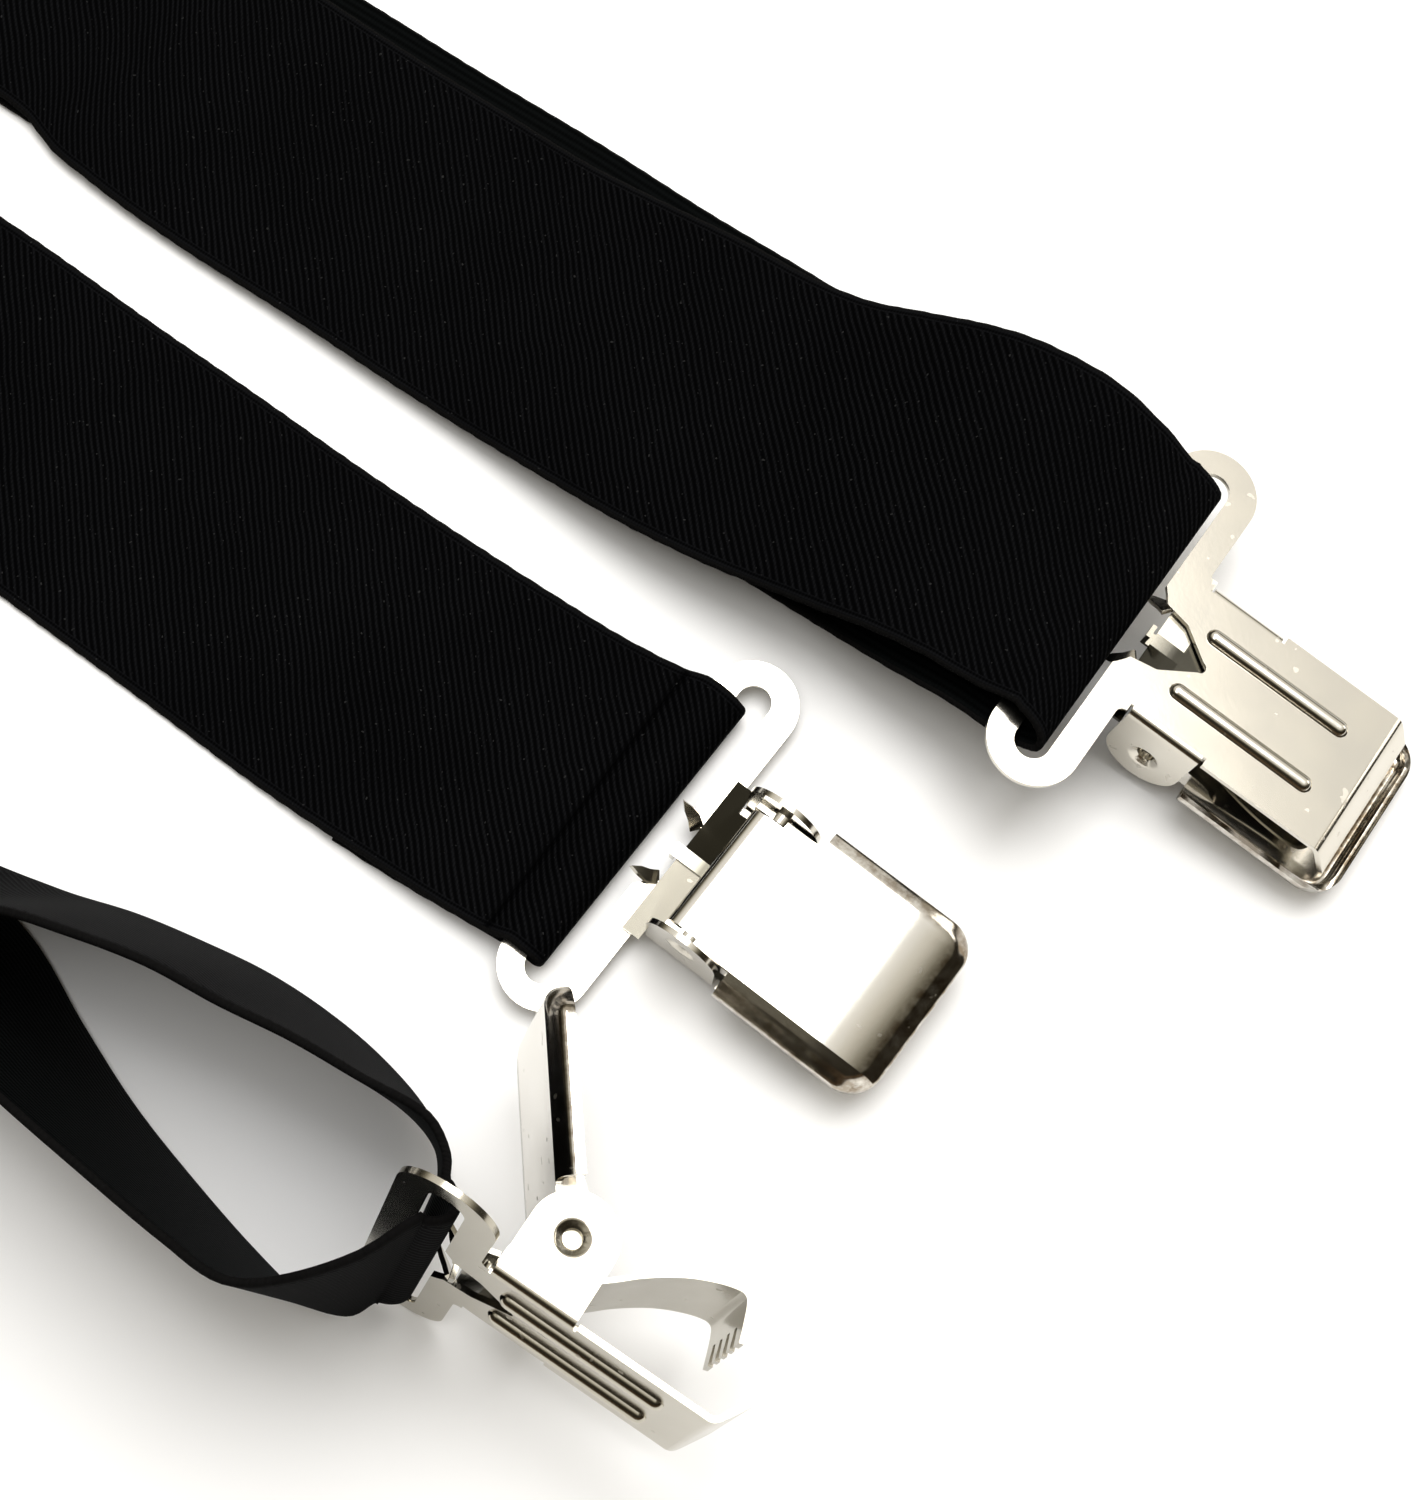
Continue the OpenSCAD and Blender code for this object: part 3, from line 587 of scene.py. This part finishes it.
def metal_material(name, colour, rough, scratch=1.0, pressed=nothing, painted_light=nothing, dark=ROOT_SHADE_AND_REFLECTION):
    """Polished nickel plate with faint stains and pits, and a piece's pressed places and places of painted
    shade and painted reflection.
    """
    n = Nodes(name)
    x, y, _ = n.uv(OWN_UV)
    place = n.tree.nodes.new("ShaderNodeTexCoord").outputs["Object"]
    cloud = n.noise(place, 90.0, 4.0, 0.6)
    fine = n.noise(place, 1400.0, 3.0, 0.6)
    pits = n.math("GREATER_THAN", n.noise(place, 520.0, 1.0), 0.735)
    stain = tuple(c * f for c, f in zip(colour, (0.90, 0.87, 0.80))) + (1,)
    base = n.mix(n.math("MULTIPLY", cloud, 0.75), colour + (1,), stain)
    base = n.mix(n.math("MULTIPLY", pits, 0.35 * scratch), base, (0.45, 0.42, 0.36, 1))
    # Painted light: a piece's painted shade and painted reflection, in its dark colour
    base = n.mix(painted_light(n, x, y), base, dark + (1,))
    change = n.math("MULTIPLY", n.math("SUBTRACT", cloud, 0.5), 0.12 * scratch)
    roughness = n.math("ADD", n.math("ADD", change, rough), n.math("MULTIPLY", pits, 0.15))
    n.set(Base_Color=base, Metallic=1.0, Roughness=roughness)
    grain = n.math("MULTIPLY", fine, 0.004 * scratch)
    height = n.math("ADD", grain, n.math("MULTIPLY", cloud, 0.012 * scratch))
    n.bump(n.math("ADD", height, pressed(n, x, y)), 1.0 * MM)
    return n.material


TWILL = webbing_face()
INSIDE = webbing_inside()
EDGE = webbing_edge()
THREAD = thread_material()
LEATHER = leather_material()
NICKEL = metal_material("clip_nickel", (0.66, 0.635, 0.575), 0.16)
# The levers' covers carry painted reflection on their rolled rims
BRIGHT = metal_material("lever_nickel", (0.70, 0.68, 0.635), 0.17, 1.0, pressed_cover, rim_painted_reflection, RIM_REFLECTION_BROWN)
# The jaws carry painted shade and painted reflection at their roots
SPRING = metal_material("jaw_nickel", (0.55, 0.53, 0.465), 0.18, 1.0, pressed_root, root_painted_shade_and_reflection)
# Painted shade: the left clip's plate and jaw are darker copies of the nickel, with more pits, which keep it
# grey over the bright floor that it reflects
SHADE_PAINTED_NICKEL = metal_material("clip_nickel_shade_painted", (0.50, 0.475, 0.41), 0.18, 1.4)
SHADE_PAINTED_SPRING = metal_material("jaw_nickel_worn", (0.42, 0.40, 0.345), 0.22, 1.4, pressed_root, root_painted_shade_and_reflection)
SLIDE_METAL = metal_material("slide_nickel", (0.70, 0.685, 0.65), 0.14)


# ---------- webbing ----------
COLUMNS = 24
EDGE_STEPS = 4
STATION_STEP = 1.6
# Where a strap without a seam puts its seam: far from every station
NO_SEAM = -999.0


def section():
    """The webbing's cross section: (across, up, part), across in millimetres."""
    half = STRAP_W / 2
    r = STRAP_T / 2
    loop = []
    for i in range(COLUMNS + 1):
        loop.append((-(half - r) + 2 * (half - r) * i / COLUMNS, r, "top"))
    for i in range(1, EDGE_STEPS):
        a = 90 - 180 * i / EDGE_STEPS
        loop.append((half - r + r * cosd(a), r * sind(a), "edge"))
    for i in range(COLUMNS + 1):
        loop.append((half - r - 2 * (half - r) * i / COLUMNS, -r, "bottom"))
    for i in range(1, EDGE_STEPS):
        a = 270 - 180 * i / EDGE_STEPS
        loop.append((-(half - r) + r * cosd(a), r * sind(a), "edge"))
    return loop


def wave_at(run, seed):
    """A slow, small wander, so that no edge is ruler straight."""
    return (math.sin(run / 17.0 + seed) + 0.6 * math.sin(run / 7.3 + 2.1 * seed)) * 0.12


def webbing(name, node, route, face_up, seed, seam_x=None):
    """One strap as a closed, thin band with rounded selvages.

    face_up: the twill is on the top side. seam_x: where a row of stitches first crosses it.
    """
    stations = smooth(route, STATION_STEP)
    outline = section()
    mesh = bmesh.new()
    layer = mesh.loops.layers.uv.new(WEB_UV)
    seam_layer = mesh.loops.layers.uv.new(SEAM_UV)
    hand = 1 if face_up else -1
    rings = []
    runs = []
    run = 0.0
    last = len(stations) - 1
    for i, (centre, width) in enumerate(stations):
        if i:
            run += (centre - stations[i - 1][0]).length
        before = (stations[max(i, 1)][0] - stations[max(i, 1) - 1][0]).normalized()
        after = (stations[min(i, last - 1) + 1][0] - stations[min(i, last - 1)][0]).normalized()
        t = (before + after).normalized()
        d = width.normalized()
        stretch = 1 / (d - d.dot(t) * t).length
        up = t.cross(d).normalized()
        ring = []
        for across, rise, part in outline:
            tooth = 0.06 * math.sin(run * 5.6) * max(0.0, abs(across) - 24.0)
            wide = across + (wave_at(run, seed) + tooth) * (1 if across > 0 else -1) * (abs(across) / 25) ** 6
            ring.append(mesh.verts.new((centre + SHIFT + d * wide * stretch + up * rise) * MM))
        rings.append(ring)
        runs.append(run)
    seam = NO_SEAM
    for i in range(last, 0, -1):
        near, far = stations[i - 1][0].x, stations[i][0].x
        if seam_x is not None and (near - seam_x) * (far - seam_x) <= 0:
            seam = runs[i - 1] + (runs[i] - runs[i - 1]) * (seam_x - near) / (far - near)
    count = len(outline)
    material_of = {"top": 0 if face_up else 1, "bottom": 1 if face_up else 0, "edge": 2}
    for i in range(last):
        for j in range(count):
            k = (j + 1) % count
            made = mesh.faces.new((rings[i][j], rings[i + 1][j], rings[i + 1][k], rings[i][k]))
            part = outline[j][2] if outline[j][2] == outline[k][2] else "edge"
            made.material_index = material_of[part]
            made.smooth = True
            corners = ((outline[j], runs[i]), (outline[j], runs[i + 1]), (outline[k], runs[i + 1]),
                       (outline[k], runs[i]))
            for loop, (point, at) in zip(made.loops, corners):
                loop[layer].uv = (point[0] * hand, at)
                loop[seam_layer].uv = (at - seam, 0)
    for ring, flip in ((rings[0], False), (rings[last], True)):
        top = ring[:COLUMNS + 1]
        low = list(reversed(ring[COLUMNS + EDGE_STEPS:2 * COLUMNS + EDGE_STEPS + 1]))
        for j in range(COLUMNS):
            corners = [top[j], top[j + 1], low[j + 1], low[j]]
            mesh.faces.new(corners if not flip else list(reversed(corners))).material_index = 2
        right = ring[COLUMNS:COLUMNS + EDGE_STEPS + 1]
        left = ring[2 * COLUMNS + EDGE_STEPS:] + [ring[0]]
        for cap in (right, left):
            mesh.faces.new(cap if not flip else list(reversed(cap))).material_index = 2
    bmesh.ops.recalc_face_normals(mesh, faces=mesh.faces)
    data = bpy.data.meshes.new(name)
    mesh.to_mesh(data)
    mesh.free()
    piece = bpy.data.objects.new(name, data)
    bpy.context.collection.objects.link(piece)
    for material in (TWILL, INSIDE, EDGE):
        data.materials.append(material)
    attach(piece, "harness")
    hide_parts(node)
    return runs[last]


lengths = {
    "rear_webbing": webbing("rear_webbing", "rear_strap", REAR_ROUTE, True, 0.3, REAR_SEAM_X),
    "right_shoulder_webbing": webbing(
        "right_shoulder_webbing", "right_shoulder_strap", shoulder_route(1, 3.3), False, 1.1),
    "left_shoulder_webbing": webbing(
        "left_shoulder_webbing", "left_shoulder_strap", shoulder_route(-1, 1.95), True, 2.0),
    "right_front_webbing": webbing(
        "right_front_webbing", "right_front_strap", RIGHT_FRONT_ROUTE, False, 2.9),
    "left_front_webbing": webbing(
        "left_front_webbing", "left_front_strap", LEFT_FRONT_ROUTE, True, 3.7),
    "right_return_webbing": webbing(
        "right_return_webbing", "right_return_strap", RIGHT_RETURN_ROUTE, False, 4.4, RETURN_SEAM_X),
    "left_return_webbing": webbing(
        "left_return_webbing", "left_return_strap", LEFT_RETURN_ROUTE, True, 5.2, RETURN_SEAM_X),
}
print("strap lengths, mm:", {k: round(v, 1) for k, v in lengths.items()})


# ---------- metal ----------
# Edges sharper than STAMPED_ANGLE are rounded, and faces within FLAT_ANGLE are one face, in degrees
STAMPED_ANGLE = 35
FLAT_ANGLE = 0.8
FLAT_WEIGHT = 80
# The left clip's open pieces: the point that each turns about, across and up, and by how many degrees
PIVOT = (19.9, 9.0)
JAW_ROOT = (11.8, 1.2)
OPENINGS = {"left_clip_lever": (PIVOT, 127.0), "left_clip_jaw": (JAW_ROOT, 15.4)}


def own_place(node, point):
    """A point of a clip's piece in that piece's own millimetres, before it was placed or opened."""
    clip = node.split("_")[0]
    local = turn(clip).transposed() @ (point / MM - SHIFT - Vector(POSES[clip][0]))
    if node in OPENINGS:
        (px, pz), angle = OPENINGS[node]
        dx, dz = local.x - px, local.z - pz
        local.x = px + dx * cosd(angle) - dz * sind(angle)
        local.z = pz + dx * sind(angle) + dz * cosd(angle)
    return local


def refined(node, body, material, round_off):
    """A CAD node's own shape with its stamped edges rounded off, standing for that node."""
    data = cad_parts[node].data.copy()
    name = node + "_metal"
    data.name = name
    mesh = bmesh.new()
    mesh.from_mesh(data)
    bmesh.ops.remove_doubles(mesh, verts=mesh.verts, dist=1e-6)
    bmesh.ops.dissolve_limit(mesh, angle_limit=math.radians(FLAT_ANGLE), verts=mesh.verts, edges=mesh.edges)
    if "clip" in node:
        own = mesh.loops.layers.uv.new(OWN_UV)
        for face in mesh.faces:
            for loop in face.loops:
                loop[own].uv = own_place(node, loop.vert.co).xy
    mesh.to_mesh(data)
    mesh.free()
    piece = bpy.data.objects.new(name, data)
    bpy.context.collection.objects.link(piece)
    data.materials.clear()
    data.materials.append(material)
    for face in data.polygons:
        face.use_smooth = True
    bevel = piece.modifiers.new("edges", "BEVEL")
    bevel.width = round_off * MM
    bevel.segments = 2
    bevel.limit_method = "ANGLE"
    bevel.angle_limit = math.radians(STAMPED_ANGLE)
    weighted = piece.modifiers.new("normals", "WEIGHTED_NORMAL")
    weighted.mode = "FACE_AREA"
    weighted.weight = FLAT_WEIGHT
    weighted.keep_sharp = False
    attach(piece, body)
    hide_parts(node)


for clip in POSES:
    # The left clip takes the darker nickel copies, with painted shade
    shade_painted = clip == "left"
    refined(clip + "_clip_frame", clip + "_clip", SHADE_PAINTED_NICKEL if shade_painted else NICKEL, 0.22)
    refined(clip + "_clip_lever", clip + "_lever", BRIGHT, 0.18)
    refined(clip + "_clip_jaw", clip + "_jaw", SHADE_PAINTED_SPRING if shade_painted else SPRING, 0.12)
for side in ("right", "left"):
    refined(side + "_slide", "harness", SLIDE_METAL, 0.3)

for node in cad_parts:
    if "patch" in node and "stitches" not in node:
        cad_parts[node].data.materials.clear()
        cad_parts[node].data.materials.append(LEATHER)
    if "stitches" in node:
        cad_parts[node].data.materials.clear()
        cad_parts[node].data.materials.append(THREAD)

# ---------- floor, light and camera ----------
FLOOR_HALF = 3.0
FLOOR_GAP = 0.0002
floor_data = bpy.data.meshes.new("floor")
floor_mesh = bmesh.new()
bmesh.ops.create_grid(floor_mesh, x_segments=1, y_segments=1, size=FLOOR_HALF)
floor_mesh.to_mesh(floor_data)
floor_mesh.free()
floor = bpy.data.objects.new("floor", floor_data)
bpy.context.collection.objects.link(floor)
floor.location = (0, 0, -FLOOR_GAP)
paper = Nodes("paper_floor")
paper.set(Base_Color=(0.93, 0.93, 0.93, 1), Roughness=0.9, Specular_IOR_Level=0.1)
floor_data.materials.append(paper.material)


def soft_box(name, place, aim, size, power, colour=(1, 1, 1)):
    light = bpy.data.lights.new(name, "AREA")
    light.shape = "RECTANGLE"
    light.size = size[0]
    light.size_y = size[1]
    light.energy = power
    light.color = colour
    lamp = bpy.data.objects.new(name, light)
    bpy.context.collection.objects.link(lamp)
    lamp.location = place
    lamp.rotation_euler = (Vector(aim) - Vector(place)).to_track_quat("-Z", "Y").to_euler()


CAMERA_AZIMUTH = 36.4
CAMERA_ELEVATION = 72.72
CAMERA_DISTANCE = 355.0
CAMERA_LENS = 56.1
look = Vector((-sind(CAMERA_AZIMUTH), cosd(CAMERA_AZIMUTH), 0)) * cosd(CAMERA_ELEVATION)
look.z = -sind(CAMERA_ELEVATION)
target = SHIFT * MM
camera_data = bpy.data.cameras.new("camera")
camera_data.lens = CAMERA_LENS
camera_data.sensor_fit = "VERTICAL"
camera_data.sensor_height = 36.0
camera_data.sensor_width = 36.0
camera_data.clip_start = 0.01
camera = bpy.data.objects.new("camera", camera_data)
bpy.context.collection.objects.link(camera)
camera.location = target - look * CAMERA_DISTANCE * MM
camera.rotation_euler = look.to_track_quat("-Z", "Y").to_euler()
bpy.context.scene.camera = camera

right_of = Vector((cosd(CAMERA_AZIMUTH), sind(CAMERA_AZIMUTH), 0))
away = Vector((-sind(CAMERA_AZIMUTH), cosd(CAMERA_AZIMUTH), 0))


def around(right, deep, height):
    """A place near the clips, in metres to the camera's right, away from it, and up."""
    return target + right_of * right + away * deep + Vector((0, 0, height))


soft_box("top_box", around(0.12, 0.2, 0.87), target, (0.56, 0.52), 5.0)
soft_box("fill_box", around(-0.087, -0.066, 0.45), around(-0.087, -0.066, 0.0), (0.18, 0.18), 0.36)
soft_box("side_box", around(1.0, 0.25, 0.42), target, (0.5, 0.35), 1.6, (1.0, 0.96, 0.9))


def studio_world():
    """A dim warm room under a pale ceiling, with one bright patch in it for the clips' flat plates."""
    world = bpy.data.worlds.new("studio")
    world.use_nodes = True
    tree = world.node_tree
    place = tree.nodes.new("ShaderNodeTexCoord").outputs["Generated"]
    split = tree.nodes.new("ShaderNodeSeparateXYZ")
    tree.links.new(place, split.inputs[0])
    blotch = tree.nodes.new("ShaderNodeTexNoise")
    blotch.inputs["Scale"].default_value = 2.6
    blotch.inputs["Detail"].default_value = 3.0
    tree.links.new(place, blotch.inputs["Vector"])
    lean = tree.nodes.new("ShaderNodeVectorMath")
    lean.operation = "DOT_PRODUCT"
    lean.inputs[1].default_value = away * 0.42 + right_of * 0.12
    tree.links.new(place, lean.inputs[0])
    tilt = tree.nodes.new("ShaderNodeMath")
    tilt.operation = "ADD"
    tree.links.new(lean.outputs["Value"], tilt.inputs[0])
    tree.links.new(split.outputs[2], tilt.inputs[1])
    lift = tree.nodes.new("ShaderNodeMath")
    lift.operation = "MULTIPLY_ADD"
    lift.inputs[1].default_value = 0.25
    tree.links.new(blotch.outputs["Fac"], lift.inputs[0])
    tree.links.new(tilt.outputs[0], lift.inputs[2])
    ramp = tree.nodes.new("ShaderNodeValToRGB")
    tree.links.new(lift.outputs[0], ramp.inputs[0])
    stops = [
        (0.00, (0.10, 0.065, 0.035)),
        (0.22, (0.022, 0.018, 0.012)),
        (0.58, (0.035, 0.03, 0.02)),
        (0.75, (0.26, 0.235, 0.175)),
        (0.92, (0.86, 0.82, 0.73)),
        (1.00, (1.00, 0.97, 0.92)),
    ]
    band = ramp.color_ramp
    band.elements[0].position = stops[0][0]
    band.elements[0].color = stops[0][1] + (1,)
    band.elements[1].position = stops[-1][0]
    band.elements[1].color = stops[-1][1] + (1,)
    for at, colour in stops[1:-1]:
        band.elements.new(at).color = colour + (1,)
    facing = tree.nodes.new("ShaderNodeVectorMath")
    facing.operation = "DOT_PRODUCT"
    facing.inputs[1].default_value = (right_of * 0.16 + away * 0.36 + Vector((0, 0, 0.92))).normalized()
    tree.links.new(place, facing.inputs[0])
    glow = tree.nodes.new("ShaderNodeMapRange")
    glow.interpolation_type = "SMOOTHSTEP"
    for socket, value in zip(glow.inputs[1:5], (0.93, 0.972, 1.0, 3.2)):
        socket.default_value = value
    tree.links.new(facing.outputs["Value"], glow.inputs[0])
    background = tree.nodes["Background"]
    tree.links.new(ramp.outputs[0], background.inputs["Color"])
    tree.links.new(glow.outputs[0], background.inputs["Strength"])
    bpy.context.scene.world = world


studio_world()
bpy.context.scene.view_settings.view_transform = "Standard"
